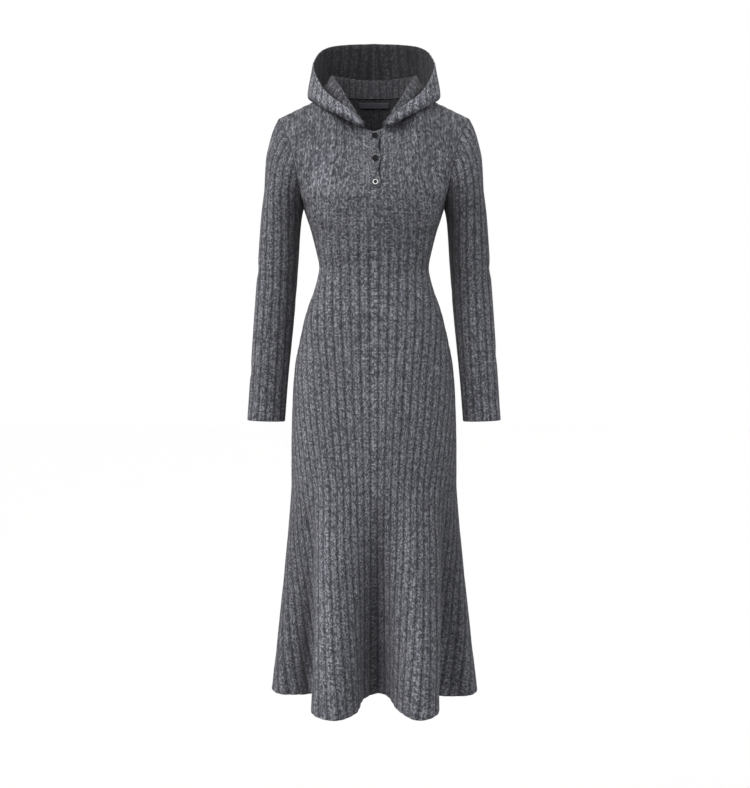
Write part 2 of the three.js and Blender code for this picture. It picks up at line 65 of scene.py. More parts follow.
class Table:  # rows of named sizes, read smoothly between the rows
    def __init__(self, key, names, rows):
        self.names = [key] + names
        self.places = [row[1] for row in rows]
        self.values = {name: [row[2 + i] for row in rows] for i, name in enumerate(names)}
        self.rows = rows

    def slope(self, values, index):
        low, high = max(index - 1, 0), min(index + 1, len(self.places) - 1)
        return (values[high] - values[low]) / (self.places[high] - self.places[low])

    def read(self, at, name):
        values, places = self.values[name], self.places
        place = clamp(at, places[0], places[-1])
        row = int(clamp(bisect.bisect_left(places, place) - 1, 0, len(places) - 2))
        span = places[row + 1] - places[row]
        t = (place - places[row]) / span
        bend = self.slope(values, row) * t * (1 - t) ** 2 - self.slope(values, row + 1) * t * t * (1 - t)
        return mixed(values[row], values[row + 1], t * t * (3 - 2 * t)) + bend * span

    def ring(self):  # the same rows once more on each side, so that a closed line has no joint
        turned = [(row[0], row[1] + whole, *row[2:]) for whole in (-360, 0, 360) for row in self.rows]
        return Table(self.names[0], self.names[1:], turned)


def clamp(value, low, high):
    return max(low, min(high, value))


def mixed(a, b, share):
    return a + (b - a) * share


def smooth(value, low, high):
    share = clamp((value - low) / (high - low), 0, 1)
    return share * share * (3 - 2 * share)


def power(value, exponent):
    return math.copysign(abs(value) ** exponent, value)


sections = Table("z", ["half", "front", "back"], [  # body from the knee up to the armpit
    ("knee", -760, 158, 113, 112),
    ("thigh", -640, 157, 112, 114),
    ("hip", -520, 150, 106, 111),
    ("high hip", -430, 131, 95, 96),
    ("waist", -342, 104.5, 82, 74),
    ("rib cage", -275, 116, 92, 80),
    ("armpit", -209, 137, 104, 86),
])

armhole = Table("z", ["x"], [  # armhole seam seen from the front
    ("armpit", -209, 137),
    ("lower curve", -162, 146),
    ("middle", -123, 154),
    ("upper curve", -82, 166.5),
    ("shoulder tip", -48.5, 183),
])

folds = Table("turn", ["x", "y", "drop"], [  # where each fold of the skirt meets the hem; turn 0 is in front
    ("left seam", -90, -200, 30, 0),
    ("left side flute front", -75, -184, -6, 2),
    ("left side flute floor", -60, -143, -10, 2),
    ("left valley", -47, -106, -30, -3),
    ("left front flute outer wall", -35, -115, -112, 11),
    ("left front flute crest", -22, -73, -150, 15),
    ("left front flute inner wall", -12, -35, -112, 11),
    ("front valley left side", -5, -22, -66, -3),
    ("front valley", 2, 7, -38, -8),
    ("front valley right side", 8, 29, -58, -6),
    ("right front flute inner wall", 15, 46, -104, 7),
    ("right front flute crest", 29, 82, -148, 15),
    ("right front flute outer wall", 45, 120, -110, 11),
    ("right valley", 55, 113, -28, 2),
    ("right side flute floor", 65, 147, -12, 5),
    ("right side flute front", 78, 188, -8, 4),
    ("right seam", 90, 202, 28, 2),
    ("right side flute back", 105, 181, 68, 0),
    ("right rear valley", 122, 126, 78, -3),
    ("right rear flute outer wall", 137, 121, 128, 3),
    ("right rear flute crest", 151, 80, 158, 5),
    ("right rear flute inner wall", 164, 36, 126, 3),
    ("rear valley", 178, -4, 74, -5),
    ("left rear flute inner wall", 193, -44, 124, 3),
    ("left rear flute crest", 206, -88, 154, 5),
    ("left rear flute outer wall", 221, -126, 122, 3),
    ("left rear valley", 238, -130, 76, -3),
    ("left side flute back", 255, -181, 68, 0),
])

ribs = Table("z", ["pitch"], [  # width of one rib by height
    ("hem", -1165, 20),
    ("above the hem", -1050, 16.8),
    ("shin", -950, 14.2),
    ("below the knee", -860, 12.9),
    ("knee", -773, 12.5),
    ("above the knee", -698, 13.5),
    ("thigh", -624, 14.8),
    ("hip", -530, 16.2),
    ("high hip", -435, 17.6),
    ("waist", -342, 18.5),
    ("rib cage", -258, 19.2),
    ("chest", -172, 17.2),
    ("upper chest", -97, 16.4),
    ("shoulder", -48.5, 16),
])

sleeveRings = Table("z", ["innerX", "outerX", "outerZ", "depth"], [  # sleeve from the cuff to the armpit
    ("cuff", -632, 176, 244, -630, 32),
    ("forearm", -530, 168, 237, -528, 33),
    ("elbow", -430, 158, 230, -427, 35),
    ("upper arm", -330, 149.5, 222, -320, 39),
    ("below armpit", -250, 144.5, 215.5, -232, 45),
    ("armpit", -209, 137.3, 209.5, -185, 52),
])

capLine = Table("z", ["x"], [  # outer line of the sleeve cap
    ("armpit level", -185, 209.5),
    ("middle", -123, 205.8),
    ("upper", -96, 200),
    ("round", -70, 192.5),
    ("shoulder tip", -48.5, 183.5),
])

hoodStations = Table("turn", ["ridgeOut", "ridgeUp", "slopeOut", "slopeUp", "troughOut", "troughUp", "bulgeOut", "bulgeUp", "rimOut", "rimUp"], [  # hood from the centre front round to the back
    ("front end", 12, 81, -66, 87, -67, 93, -75, 98, -75, 100, -69),
    ("front", 22, 80, -49, 88, -53, 98, -68, 105, -64, 103, -50),
    ("collar bone", 36, 78, -25, 90, -33, 103, -54, 111, -49, 107, -31),
    ("front quarter", 54, 76, 6, 91, -6, 108, -38, 117, -30, 110, -7),
    ("before the side", 70, 77, 25, 93, 9, 112, -23, 122, -14, 114, 24),
    ("neck side", 84, 78, 36, 95, 20, 114, -7, 125, -8, 116, 49),
    ("behind the side", 108, 80, 42, 99, 20, 117, -10, 122.5, -6, 119.5, 78),
    ("back quarter", 138, 80, 45, 100, 14, 121, -26, 140, 3, 134, 113.5),
    ("near the back", 158, 75, 43, 97, 10, 120, -37, 143, -2, 132, 124),
    ("centre back", 180, 72, 42, 96, 6, 119, -44, 144, -6, 128, 127),
])

foldRing = folds.ring()


def shoulderTurn(step):  # share of the way from the chest to the top edge
    return 1 - (1 - step ** cut["shoulderRound"]) ** (1 / cut["shoulderRound"])


def seamStep(z):
    return clamp((z - cut["armpitZ"]) / (cut["tipZ"] - cut["armpitZ"]), 0, 1)


def armholeSeam(side, step):
    y = side * cut["armholeBulge"][side] * 2 * math.sqrt(step * (1 - step)) * (1 - shoulderTurn(step))
    z = mixed(cut["armpitZ"], cut["tipZ"], step)
    return Vector((armhole.read(z, "x"), y, z))


def armholeWay(side, step, across):  # the wall's direction at the armhole, shared by body and sleeve
    return Vector((across * 0.75 * step, side * 2 * math.sqrt(step * (1 - step)), 2 * step - 1)).normalized()


def topEdge(side, x):  # neckline, then shoulder seam
    across = abs(x)
    neckHalf = cut["neckHalf"]
    if across >= neckHalf:
        return 0, cut["tipZ"] * (across - neckHalf) / (cut["tipX"] - neckHalf)
    share = across / neckHalf
    plan, rise = cut["neckPlanPower"], cut["neckPower"][side]
    y = side * cut["neckDepth"][side] * (1 - share ** plan) ** (1 / plan)
    return y, -cut["neckDrop"][side] * (1 - share ** rise) ** (1 / rise)


def bodyPoint(side, u, z):  # inside face of a panel: side -1 is the front, 1 the back
    turn = u * 90 if side < 0 else 180 + u * 90
    form = cut["formPower"]
    share = power(math.sin(math.radians(turn)), 2 / form)
    panel = "front" if side < 0 else "back"
    if z <= cut["armpitZ"]:
        away = abs(math.cos(math.radians(turn))) ** (2 / form)
        point = Vector((sections.read(z, "half") * share, side * sections.read(z, panel) * away, z))
        grown = clamp((cut["skirtStartZ"] - z) / (cut["skirtStartZ"] - cut["hemZ"]), 0, 1.1) ** cut["foldGrowth"]
        if grown > 0:
            flared = Vector((foldRing.read(turn, "x"), foldRing.read(turn, "y"), z))
            point = point.lerp(flared, grown)
            point.z -= foldRing.read(turn, "drop") * grown
        return point
    step = seamStep(z)
    seam = armholeSeam(side, step)
    across = min(abs(share), 1)
    flat = smooth(step, 0, 0.3)
    bow = (1 - across ** mixed(form, 2.6, flat)) ** mixed(1 / form, 1, flat)
    topY, topZ = topEdge(side, cut["tipX"] * share)
    middle = side * sections.read(cut["armpitZ"], panel)
    seamY = side * cut["armholeBulge"][side] * 2 * math.sqrt(step * (1 - step))
    nearShoulder = smooth(cut["tipX"] * across, 45, 92)
    towardTop = mixed(step ** 1.3, shoulderTurn(step), nearShoulder)
    y = mixed(mixed(seamY, middle, bow), topY, towardTop)
    return Vector((seam.x * share, y, mixed(cut["armpitZ"], topZ, step)))


def sleevePoint(sign, u, z):  # inside face of a sleeve: u is 0 on the outer line, -1 and 1 at the underarm
    step = seamStep(z)
    side = -1 if sign * u < 0 else 1
    if step > 0:
        seam = armholeSeam(side, step)
        half = math.acos(clamp(2 * step - 1, -1, 1))
        outerZ = mixed(capLine.places[0], cut["tipZ"], step ** 0.9)
        outerX, seamX = capLine.read(outerZ, "x"), seam.x
        depth = abs(seam.y) / math.sin(half)
    else:
        half = math.pi
        outerZ, outerX = sleeveRings.read(z, "outerZ"), sleeveRings.read(z, "outerX")
        seamX, depth = sleeveRings.read(z, "innerX"), sleeveRings.read(z, "depth")
        if side > 0:
            depth *= mixed(1, 0.885, smooth(z, -330, cut["armpitZ"]))
    reach = 1 - math.cos(half)
    away = 1 - math.cos(u * half)
    return Vector((
        sign * (outerX - (outerX - seamX) / reach * away),
        sign * depth * math.sin(u * half),
        outerZ - (outerZ - z) / reach * away,
    ))


def neckSeam(turn):
    side = -1 if turn <= 90 else 1
    x = max(cut["neckHalf"] * math.sin(math.radians(turn)), 0)
    y, z = topEdge(side, x)
    return Vector((x, y, z))


def splinePoint(points, at):  # smooth line through a few points, at runs from 0 to 1
    place = clamp(at, 0, 1) * (len(points) - 1)
    first = min(int(place), len(points) - 2)
    t = place - first
    b, c = points[first], points[first + 1]
    a = points[first - 1] if first > 0 else 2 * b - c
    d = points[first + 2] if first + 2 < len(points) else 2 * c - b
    gaps = [max((q - p).length ** 0.5, 1e-4) for p, q in ((a, b), (b, c), (c, d))]
    leave = ((b - a) / gaps[0] - (c - a) / (gaps[0] + gaps[1]) + (c - b) / gaps[1]) * gaps[1]
    arrive = ((c - b) / gaps[1] - (d - b) / (gaps[1] + gaps[2]) + (d - c) / gaps[2]) * gaps[1]
    bend = (3 * (c - b) - 2 * leave - arrive) * t * t
    return b + leave * t + bend + (2 * (b - c) + leave + arrive) * t ** 3


hood = {"ribs": 20, "lift": 0.4, "wall": 1.6, "rise": 1.0, "rows": 62}


def hoodPoint(u, v):  # u from the front end to the centre back, v from the neck seam to the rim
    turn = mixed(hoodStations.places[0], 180, u)
    out = Vector((math.sin(math.radians(turn)), -math.cos(math.radians(turn)), 0))
    path = [neckSeam(turn) + Vector((0, 0, hood["lift"]))]
    for name in ("ridge", "slope", "trough", "bulge", "rim"):
        place = out * hoodStations.read(turn, name + "Out")
        place.z = hoodStations.read(turn, name + "Up")
        path.append(place)
    return splinePoint(path, v)


# How fine the visible cloth is
fine = {"rowSpacing": 9, "columnsPerHalfRib": 3, "walkSteps": 160, "merge": 0.002, "slit": 0.0003,
        "brightest": 1.25}
plainShading = {"shade": 0.8, "hollow": 0.11, "groove": 1}  # painted light and shade outside, painted shade inside, strength of the painted shade in the rib lines


class Crease:  # soft trough or ridge between two places on a piece, bowed to one side
    def __init__(self, name, start, end, width, height, bow=0):
        self.name, self.start, self.end = name, Vector(start), Vector(end)
        self.width, self.height, self.bow = width, height, bow

    def raised(self, place):
        line = self.end - self.start
        along = (place - self.start).dot(line) / line.length_squared
        t = clamp(along, 0, 1)
        aside = Vector((-line.y, line.x)).normalized() * self.bow * 4 * t * (1 - t)
        near = (place - self.start - line * t - aside).length / self.width
        if near > 2.6:
            return 0
        return self.height * math.exp(-near * near) * (0.2 + 0.8 * math.sin(math.pi * t) ** 0.7)


def creased(creases, place):
    return sum(crease.raised(place) for crease in creases)


def ribHeight(key):  # 1 on a rib's round top at even keys, 0 in the groove at odd keys
    near = abs(key) % 2
    return 1 - smooth(min(near, 2 - near), 0.42, 1)


def walkRow(point, row, ends, flatten):  # lengths and places along one row, measured from its middle
    steps = fine["walkSteps"]
    places = [mixed(ends[0], ends[1], i / steps) for i in range(steps + 1)]
    spots = [point(u, row) for u in places]
    lengths = [0]
    for a, b in zip(spots, spots[1:]):
        move = b - a
        lengths.append(lengths[-1] + math.hypot(move.x, move.y * (1 - flatten), move.z * (1 - flatten)))
    middle = lengths[steps // 2]
    return [length - middle for length in lengths], places


def placeAt(walk, length):
    lengths, places = walk
    i = int(clamp(bisect.bisect_left(lengths, length), 1, len(lengths) - 1))
    share = (length - lengths[i - 1]) / ((lengths[i] - lengths[i - 1]) or 1)
    return mixed(places[i - 1], places[i], clamp(share, 0, 1))


def clothMesh(name, piece):
    point, rows = piece["point"], piece["rows"]
    fineness = fine["columnsPerHalfRib"]
    ends = piece.get("ends", (-1, 1))
    walks = [walkRow(point, row, ends, piece.get("flatten", lambda row: 0)(row)) for row in rows]
    halves = [piece["pitch"](row) / 2 for row in rows]
    span = piece.get("span")
    limits = [span(row) if span else (walk[0][0], walk[0][-1]) for row, walk in zip(rows, walks)]
    lowKey = math.floor(min(limit[0] / half for limit, half in zip(limits, halves)) * fineness)
    highKey = math.ceil(max(limit[1] / half for limit, half in zip(limits, halves)) * fineness)
    keys = [key / fineness for key in range(lowKey, highKey + 1)]
    courses = [0]
    for low, high in zip(rows, rows[1:]):
        courses.append(courses[-1] + (point(0.5 * sum(ends), high) - point(0.5 * sum(ends), low)).length)

    form = bmesh.new()
    ribLayer, courseLayer = form.verts.layers.float.new("rib"), form.verts.layers.float.new("course")
    raiseLayer = form.verts.layers.float.new("raise")
    rowLayer = form.verts.layers.int.new("row")
    toneLayers = {tone: form.verts.layers.float.new(tone) for tone in plainShading}
    bmesh.ops.create_grid(form, x_segments=len(keys) - 1, y_segments=len(rows) - 1, size=1)
    placed = {}
    for vert in form.verts:
        column = round((vert.co.x + 1) / 2 * (len(keys) - 1))
        row = round((vert.co.y + 1) / 2 * (len(rows) - 1))
        half, limit = halves[row], limits[row]
        length = clamp(keys[column] * half, *limit)
        u = placeAt(walks[row], length)
        vert.co = point(u, rows[row])
        toEdge = min(length - limit[0], limit[1] - length)
        vert[ribLayer] = length / half / 2
        vert[courseLayer] = courses[row]
        vert[rowLayer] = row
        placed[column, row] = vert
        raised = piece["rise"] * ribHeight(length / half) * smooth(toEdge, -1, 6)
        if "creases" in piece:
            raised += creased(piece["creases"], piece["creasePlace"](u, rows[row], vert.co))
        if row in piece.get("roundedRows", ()):
            raised -= 0.7
        vert[raiseLayer] = raised
        # painted light and shade layers, stored as a share of the brightest painted light
        for tone, layer in toneLayers.items():
            value = piece[tone](u, rows[row], vert.co) if tone in piece else plainShading[tone]
            vert[layer] = clamp(value / fine["brightest"], 0, 1)
    for column, row in sorted(placed) if piece.get("ownCourses") else ():
        vert, below = placed[column, row], placed.get((column, row - 1))
        vert[courseLayer] = below[courseLayer] + (vert.co - below.co).length if below else 0
    bmesh.ops.remove_doubles(form, verts=form.verts, dist=fine["merge"])
    form.normal_update()
    ways = {}
    for vert in form.verts:
        way = vert.normal.copy()
        if "way" in piece:
            way = piece["way"](way, vert.co, rows[vert[rowLayer]])
        ways[vert] = way * (piece.get("lift", 0) + piece["wall"] + vert[raiseLayer])
    for vert, way in ways.items():
        vert.co += way
    uv = form.loops.layers.uv.new("knit")
    for face in form.faces:
        for loop in face.loops:
            loop[uv].uv = (loop.vert[ribLayer], loop.vert[courseLayer] / 100)
        face.smooth = True
    area = sum(face.calc_area() for face in form.faces)
    obj = finished(form, name)
    thick = obj.modifiers.new("wall", "SOLIDIFY")
    thick.thickness = piece["wall"] * mm
    thick.offset = -1
    thick.material_offset = 1
    print(f"{name}: {len(obj.data.polygons)} faces, cloth {area / 1e6:.3f} m2, {len(keys)} by {len(rows)}")
    return obj


def finished(form, name):  # from millimetres to an object in metres at the origin
    bmesh.ops.scale(form, vec=(mm, mm, mm), verts=form.verts)
    mesh = bpy.data.meshes.new(name)
    form.to_mesh(mesh)
    form.free()
    obj = bpy.data.objects.new(name, mesh)
    bpy.context.scene.collection.objects.link(obj)
    return obj


def dress(obj, materials, slot, *nodes):
    for material in materials:
        obj.data.materials.append(material)
    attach(obj, "root")
    if nodes:
        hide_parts(*nodes)
    return obj


class Wire:  # one socket's value; an expression on it adds Math nodes
    def __init__(self, finish, socket):
        self.finish, self.socket = finish, socket

    def __add__(self, other):
        return self.finish.maths("ADD", self, other)

    def __radd__(self, other):
        return self.finish.maths("ADD", other, self)

    def __sub__(self, other):
        return self.finish.maths("SUBTRACT", self, other)

    def __rsub__(self, other):
        return self.finish.maths("SUBTRACT", other, self)

    def __mul__(self, other):
        return self.finish.maths("MULTIPLY", self, other)

    def __rmul__(self, other):
        return self.finish.maths("MULTIPLY", other, self)

    def __truediv__(self, other):
        return self.finish.maths("DIVIDE", self, other)

    def __pow__(self, other):
        return self.finish.maths("POWER", self, other)


class Finish:  # a material and its nodes
    def __init__(self, name, **uniform):
        self.material = bpy.data.materials.new(name)
        self.material.use_nodes = True
        self.tree = self.material.node_tree
        self.shader = self.tree.nodes["Principled BSDF"]
        for socket, value in uniform.items():
            self.shader.inputs[socket.replace("_", " ")].default_value = value

    def node(self, kind, settings=None, sockets=None, out=0):
        made = self.tree.nodes.new("ShaderNode" + kind)
        for setting, value in (settings or {}).items():
            if setting == "stops":
                self.setStops(made.color_ramp, value)
            else:
                setattr(made, setting, value)
        for socket, value in (sockets or {}).items():
            if isinstance(value, Wire):
                self.tree.links.new(value.socket, made.inputs[socket])
            else:
                made.inputs[socket].default_value = value
        return Wire(self, made.outputs[out])

    def setStops(self, ramp, stops):
        while len(ramp.elements) < len(stops):
            ramp.elements.new(0.5)
        for element, (place, colour) in zip(ramp.elements, stops):
            element.position = place
            element.color = (*colour, 1)

    def maths(self, operation, *values):
        return self.node("Math", {"operation": operation}, dict(enumerate(values)))

    def blend(self, share, first, second):
        kept = {"data_type": "RGBA", "clamp_factor": True}
        return self.node("Mix", kept, {0: share, 6: first, 7: second}, out=2)

    def feed(self, socket, wire):
        self.tree.links.new(wire.socket, self.shader.inputs[socket])


knit = {
    "stitchesPerRib": 3, "courseHeight": 2.9, "legSlope": 0.45, "yarnPatch": 3,
    "stitchShare": 0.14, "legShare": 0.46, "yarnShare": 0.2, "cloudShare": 0.05,
    "dark": (0.03, 0.031, 0.043), "deep": (0.1, 0.103, 0.128), "middle": (0.235, 0.24, 0.282),
    "light": (0.5, 0.505, 0.56), "fleck": (0.9, 0.9, 0.93), "shadow": (0.003, 0.003, 0.005, 1),
    "grooveShadeDepth": 1.2, "waleShadeDepth": 0.5, "courseShadeDepth": 0.4, "bump": 0.6, "bumpDepth": 0.0008, "roughness": 0.94,
}


def knitFinish(name, shadeLayer):
    finish = Finish(name, Roughness=knit["roughness"], Sheen_Weight=0.1, Sheen_Roughness=0.55)
    uv = finish.node("SeparateXYZ", sockets={0: finish.node("UVMap", {"uv_map": "knit"})})
    rib, course = uv, Wire(finish, uv.socket.node.outputs[1])
    across = rib * knit["stitchesPerRib"]
    leg = finish.maths("ABSOLUTE", finish.maths("FRACT", across) - 0.5) * 2
    upward = course * (100 / knit["courseHeight"]) - leg * knit["legSlope"]
    within = finish.maths("FRACT", upward) * 2 - 1
    round1 = 1 - (leg * 2 - 1) ** 2
    legForm = round1 * (1 - finish.maths("ABSOLUTE", within) ** 4)
    legNumber = finish.node("CombineXYZ", sockets={
        0: finish.maths("FLOOR", across * 2), 1: finish.maths("FLOOR", upward),
    })
    eachLeg = finish.node("TexWhiteNoise", {"noise_dimensions": "2D"}, {"Vector": legNumber})
    stitchNumber = finish.node("CombineXYZ", sockets={
        0: finish.maths("FLOOR", across), 1: finish.maths("FLOOR", upward),
    })
    eachStitch = finish.node("TexWhiteNoise", {"noise_dimensions": "2D"}, {"Vector": stitchNumber})
    yarnPlace = finish.node("CombineXYZ", sockets={0: across * knit["yarnPatch"], 1: upward * 2})
    yarn = finish.node("TexNoise", {"noise_dimensions": "2D"}, {"Vector": yarnPlace, "Scale": 1.0, "Detail": 2.0})
    cloudPlace = finish.node("CombineXYZ", sockets={0: rib * 1.3, 1: course * 9})
    cloud = finish.node("TexNoise", {"noise_dimensions": "2D"}, {"Vector": cloudPlace, "Scale": 1.0, "Detail": 2.0})
    ply = (eachStitch - 0.5) * knit["stitchShare"] + (eachLeg - 0.5) * knit["legShare"]
    marl = ply + (yarn - 0.5) * knit["yarnShare"] + (cloud - 0.5) * knit["cloudShare"] + 0.5
    stops = list(zip((0.1, 0.32, 0.52, 0.74, 0.95), (knit[step] for step in ("dark", "deep", "middle", "light", "fleck"))))
    colour = finish.node("ValToRGB", {"stops": stops}, {0: marl})
    # Painted shade in the rib grooves, on the wale edges and between the courses, times the painted light and shade
    # of the layer, takes the marl toward the shadow colour
    groove = finish.maths("ABSOLUTE", finish.maths("FRACT", rib + 0.5) - 0.5) * 2
    depth = finish.node("Attribute", {"attribute_name": "groove"}, out=2)
    ribShade = 1 - groove ** 5 * depth * knit["grooveShadeDepth"]
    waleShade = 1 - leg ** 3 * knit["waleShadeDepth"]
    courseShade = 1 - finish.maths("ABSOLUTE", within) ** 3 * knit["courseShadeDepth"]
    tone = finish.node("Attribute", {"attribute_name": shadeLayer}, out=2)
    finish.feed("Base Color", finish.blend(ribShade * waleShade * courseShade * tone, knit["shadow"], colour))
    bump = finish.node("Bump", sockets={
        "Strength": knit["bump"], "Distance": knit["bumpDepth"], "Height": legForm + eachLeg * 0.3,
    })
    finish.feed("Normal", bump)
    return finish.material


def plainFinish(name, colour, roughness, scale, variation, **uniform):  # fine mottled surface
    finish = Finish(name, Roughness=roughness, **uniform)
    place = finish.node("TexCoord", out=3)
    spots = finish.node("TexNoise", sockets={"Vector": place, "Scale": scale, "Detail": 4.0})
    lighter = tuple(min(value * (1 + variation), 1) for value in colour)
    darker = tuple(value * (1 - variation) for value in colour)
    finish.feed("Base Color", finish.node("ValToRGB", {"stops": [(0.3, darker), (0.7, lighter)]}, {0: spots}))
    bump = finish.node("Bump", sockets={"Strength": 0.25, "Distance": 0.0003, "Height": spots})
    finish.feed("Normal", bump)
    return finish.material


# The knit with painted light and shade outside, and a copy with painted shade for the inside faces
knitted = (knitFinish("marled_knit", "shade"), knitFinish("marled_knit_shaded_inside", "hollow"))


def evenRows(low, high, spacing):
    count = math.ceil((high - low) / spacing)
    return [mixed(low, high, i / count) for i in range(count + 1)]


def ribPitch(z):
    return ribs.read(z, "pitch")


def leanedWay(way, place, seam, seamWay):
    return way.lerp(seamWay, clamp(1 - (place - seam).length / cut["seamLean"], 0, 1)).normalized()


shoulderWay = Vector((-cut["tipZ"], 0, cut["tipX"] - cut["neckHalf"])).normalized()


def bodyWay(side):
    def leaned(way, place, z):
        if z < cut["armpitZ"]:
            return way
        step, sign = seamStep(z), 1 if place.x >= 0 else -1
        turned = Matrix.Diagonal((sign, 1, 1))
        if step == 1 and abs(place.x) >= cut["neckHalf"]:
            return turned @ shoulderWay
        return leanedWay(way, place, turned @ armholeSeam(side, step), armholeWay(side, step, sign))
    return leaned


upper = {"rows": 26, "gather": 1.8}
hemRows = [cut["hemZ"], cut["hemZ"] + 1.2, cut["hemZ"] + 3.5]
lowerRows = hemRows + evenRows(cut["hemZ"] + 9, cut["armpitZ"], fine["rowSpacing"])
upperRows = [
    mixed(cut["armpitZ"], cut["tipZ"], 1 - (1 - i / upper["rows"]) ** upper["gather"])
    for i in range(1, upper["rows"] + 1)
]


def bodyPlace(u, z, place):  # a crease's place on a panel is across, then up
    return Vector((place.x, place.z))


def shaded(shades, middle=0.8):  # painted light and shade on the knit: lighter and darker where the photograph shows it
    return lambda u, z, place: middle + creased(shades, bodyPlace(u, z, place))


def chestGroove(u, z, place):  # weaker painted shade in the rib lines over the chest, where the ribs are pulled nearly flat
    return mixed(1, 0.4, smooth(z, -330, -240))


def panel(side, creases, shades):
    flatten = 0.7 if side < 0 else 0.3
    return {
        "shade": shaded(shades), "groove": chestGroove,
        "point": lambda u, z: bodyPoint(side, u, z), "rows": lowerRows + upperRows, "way": bodyWay(side),
        "pitch": ribPitch, "flatten": lambda z: flatten * seamStep(z),
        "wall": cut["wall"], "rise": cut["ribRise"], "roundedRows": (0,),
        "creases": creases, "creasePlace": bodyPlace,
    }


frontCreases = [
    Crease("under the bust left", (-118, -262), (-40, -300), 15, -4.5, 8),
    Crease("under the bust right", (112, -268), (48, -306), 14, -3.5, -7),
    Crease("waist left", (-104, -330), (-30, -352), 11, -3, 5),
    Crease("waist right", (100, -338), (40, -362), 12, -2.5, -4),
    Crease("hip left", (-140, -470), (-78, -585), 20, -4, 9),
    Crease("hip right", (138, -455), (92, -600), 22, -4.5, -8),
    Crease("left front ridge", (-92, -620), (-94, -1010), 13, 5, 4),
    Crease("left fold beside the ridge", (-128, -800), (-118, -905), 9, -7, 3),
    Crease("right front ridge", (116, -820), (118, -1130), 7, 4, 2),
    Crease("left chest", (-128, -190), (-88, -132), 13, -4, 4),
    Crease("right chest", (126, -186), (96, -138), 12, -3, -4),
    Crease("left yoke", (-150, -98), (-96, -66), 10, -2.5, 3),
    Crease("right yoke", (148, -94), (98, -68), 10, -2.5, -3),
]
backCreases = [
    Crease("back waist left", (-102, -318), (-24, -338), 13, -4, -6),
    Crease("back waist right", (98, -326), (30, -350), 13, -3.5, 6),
    Crease("small of the back", (-58, -372), (52, -378), 12, -2.5, -5),
    Crease("shoulder blade left", (-128, -196), (-84, -130), 13, -4, -4),
    Crease("shoulder blade right", (124, -190), (92, -134), 13, -3.5, 4),
    Crease("seat left", (-126, -560), (-70, -640), 18, -4, -7),
    Crease("seat right", (122, -575), (76, -660), 20, -3.5, 6),
    Crease("left rear ridge", (-84, -700), (-86, -1060), 14, 4.5, 3),
    Crease("right rear ridge", (80, -720), (82, -1040), 14, 4, -3),
]

# Painted light and shade in the front's knit: painted shade in the valleys, on the flute walls, over the shoulders,
# under the hood and beside the placket, painted light on ridges, hip, waist and chest
frontShades = [
    Crease("front valley", (6, -800), (6, -1230), 21, -0.52, -5),
    Crease("left flute wall", (-127, -920), (-142, -1260), 13, -0.62),
    Crease("left ridge light", (-92, -700), (-94, -1180), 17, 0.42),
    Crease("right ridge light", (52, -740), (80, -1150), 15, 0.22),
    Crease("right flute wall", (132, -800), (128, -1160), 12, -0.12),
    Crease("right side flute", (142, -740), (172, -1240), 26, -0.32),
    Crease("left hip light", (-128, -430), (-142, -800), 24, 0.26),
    Crease("left waist light", (-94, -280), (-108, -430), 20, 0.26),
    Crease("left chest light", (-108, -90), (-92, -260), 36, 0.36),
    Crease("right chest light", (126, -110), (108, -260), 30, 0.26),
    Crease("left shoulder shade", (-176, -44), (-76, -16), 18, -0.24),
    Crease("right shoulder shade", (176, -44), (76, -16), 18, -0.22),
    Crease("middle light", (4, -460), (2, -740), 34, 0.12),
    Crease("left yoke shade", (-150, -74), (-84, -92), 24, -0.24),
    Crease("right yoke shade", (150, -74), (76, -92), 24, -0.22),
    Crease("left armhole shade", (-150, -110), (-134, -230), 8, -0.12),
    Crease("right armhole shade", (150, -110), (134, -230), 8, -0.16),
    Crease("under the hood left", (-86, -38), (-26, -84), 9, -0.26),
    Crease("under the hood right", (86, -38), (28, -84), 9, -0.24),
    # painted shadow in the gap under the placket's waving edge
    Crease("gap above the second button", (14, -90), (14, -140), 2.6, -0.8, -4.4),
    Crease("gap above the third button", (14, -134), (14, -186), 2.6, -0.8, -4.4),
]
# Painted shade in the rear valley and under the hood, painted light on the rear ridges and hip
backShades = [
    Crease("rear valley", (-2, -820), (-4, -1190), 18, -0.22),
    Crease("under the hood behind", (-90, -20), (90, -20), 16, -0.2),
    Crease("left rear ridge light", (-84, -700), (-88, -1120), 18, 0.12),
    Crease("right rear ridge light", (80, -720), (82, -1110), 18, 0.1),
    Crease("back hip light", (-120, -440), (-134, -720), 28, 0.08),
]

front = dress(clothMesh("front_cloth", panel(-1, frontCreases, frontShades)), knitted, "knit", "front")
back = dress(clothMesh("back_cloth", panel(1, backCreases, backShades)), knitted, "knit", "back")


# Sleeves
def sleeveWay(sign):
    def leaned(way, place, z):
        if z < cut["armpitZ"]:
            return way
        step, side = seamStep(z), -1 if place.y < 0 else 1
        seam = armholeSeam(side, step)
        seam.x *= sign
        return leanedWay(way, place, seam, armholeWay(side, step, sign))
    return leaned


sleeve = {"pitch": 15, "cuffZ": -632, "capRows": 22, "capTop": 0.996}
cuffRows = [sleeve["cuffZ"], sleeve["cuffZ"] + 1.2, sleeve["cuffZ"] + 3.5]
sleeveRows = cuffRows + evenRows(sleeve["cuffZ"] + 9, cut["armpitZ"], fine["rowSpacing"]) + [
    mixed(cut["armpitZ"], cut["tipZ"], sleeve["capTop"] * (1 - (1 - i / sleeve["capRows"]) ** upper["gather"]))
    for i in range(1, sleeve["capRows"] + 1)
]


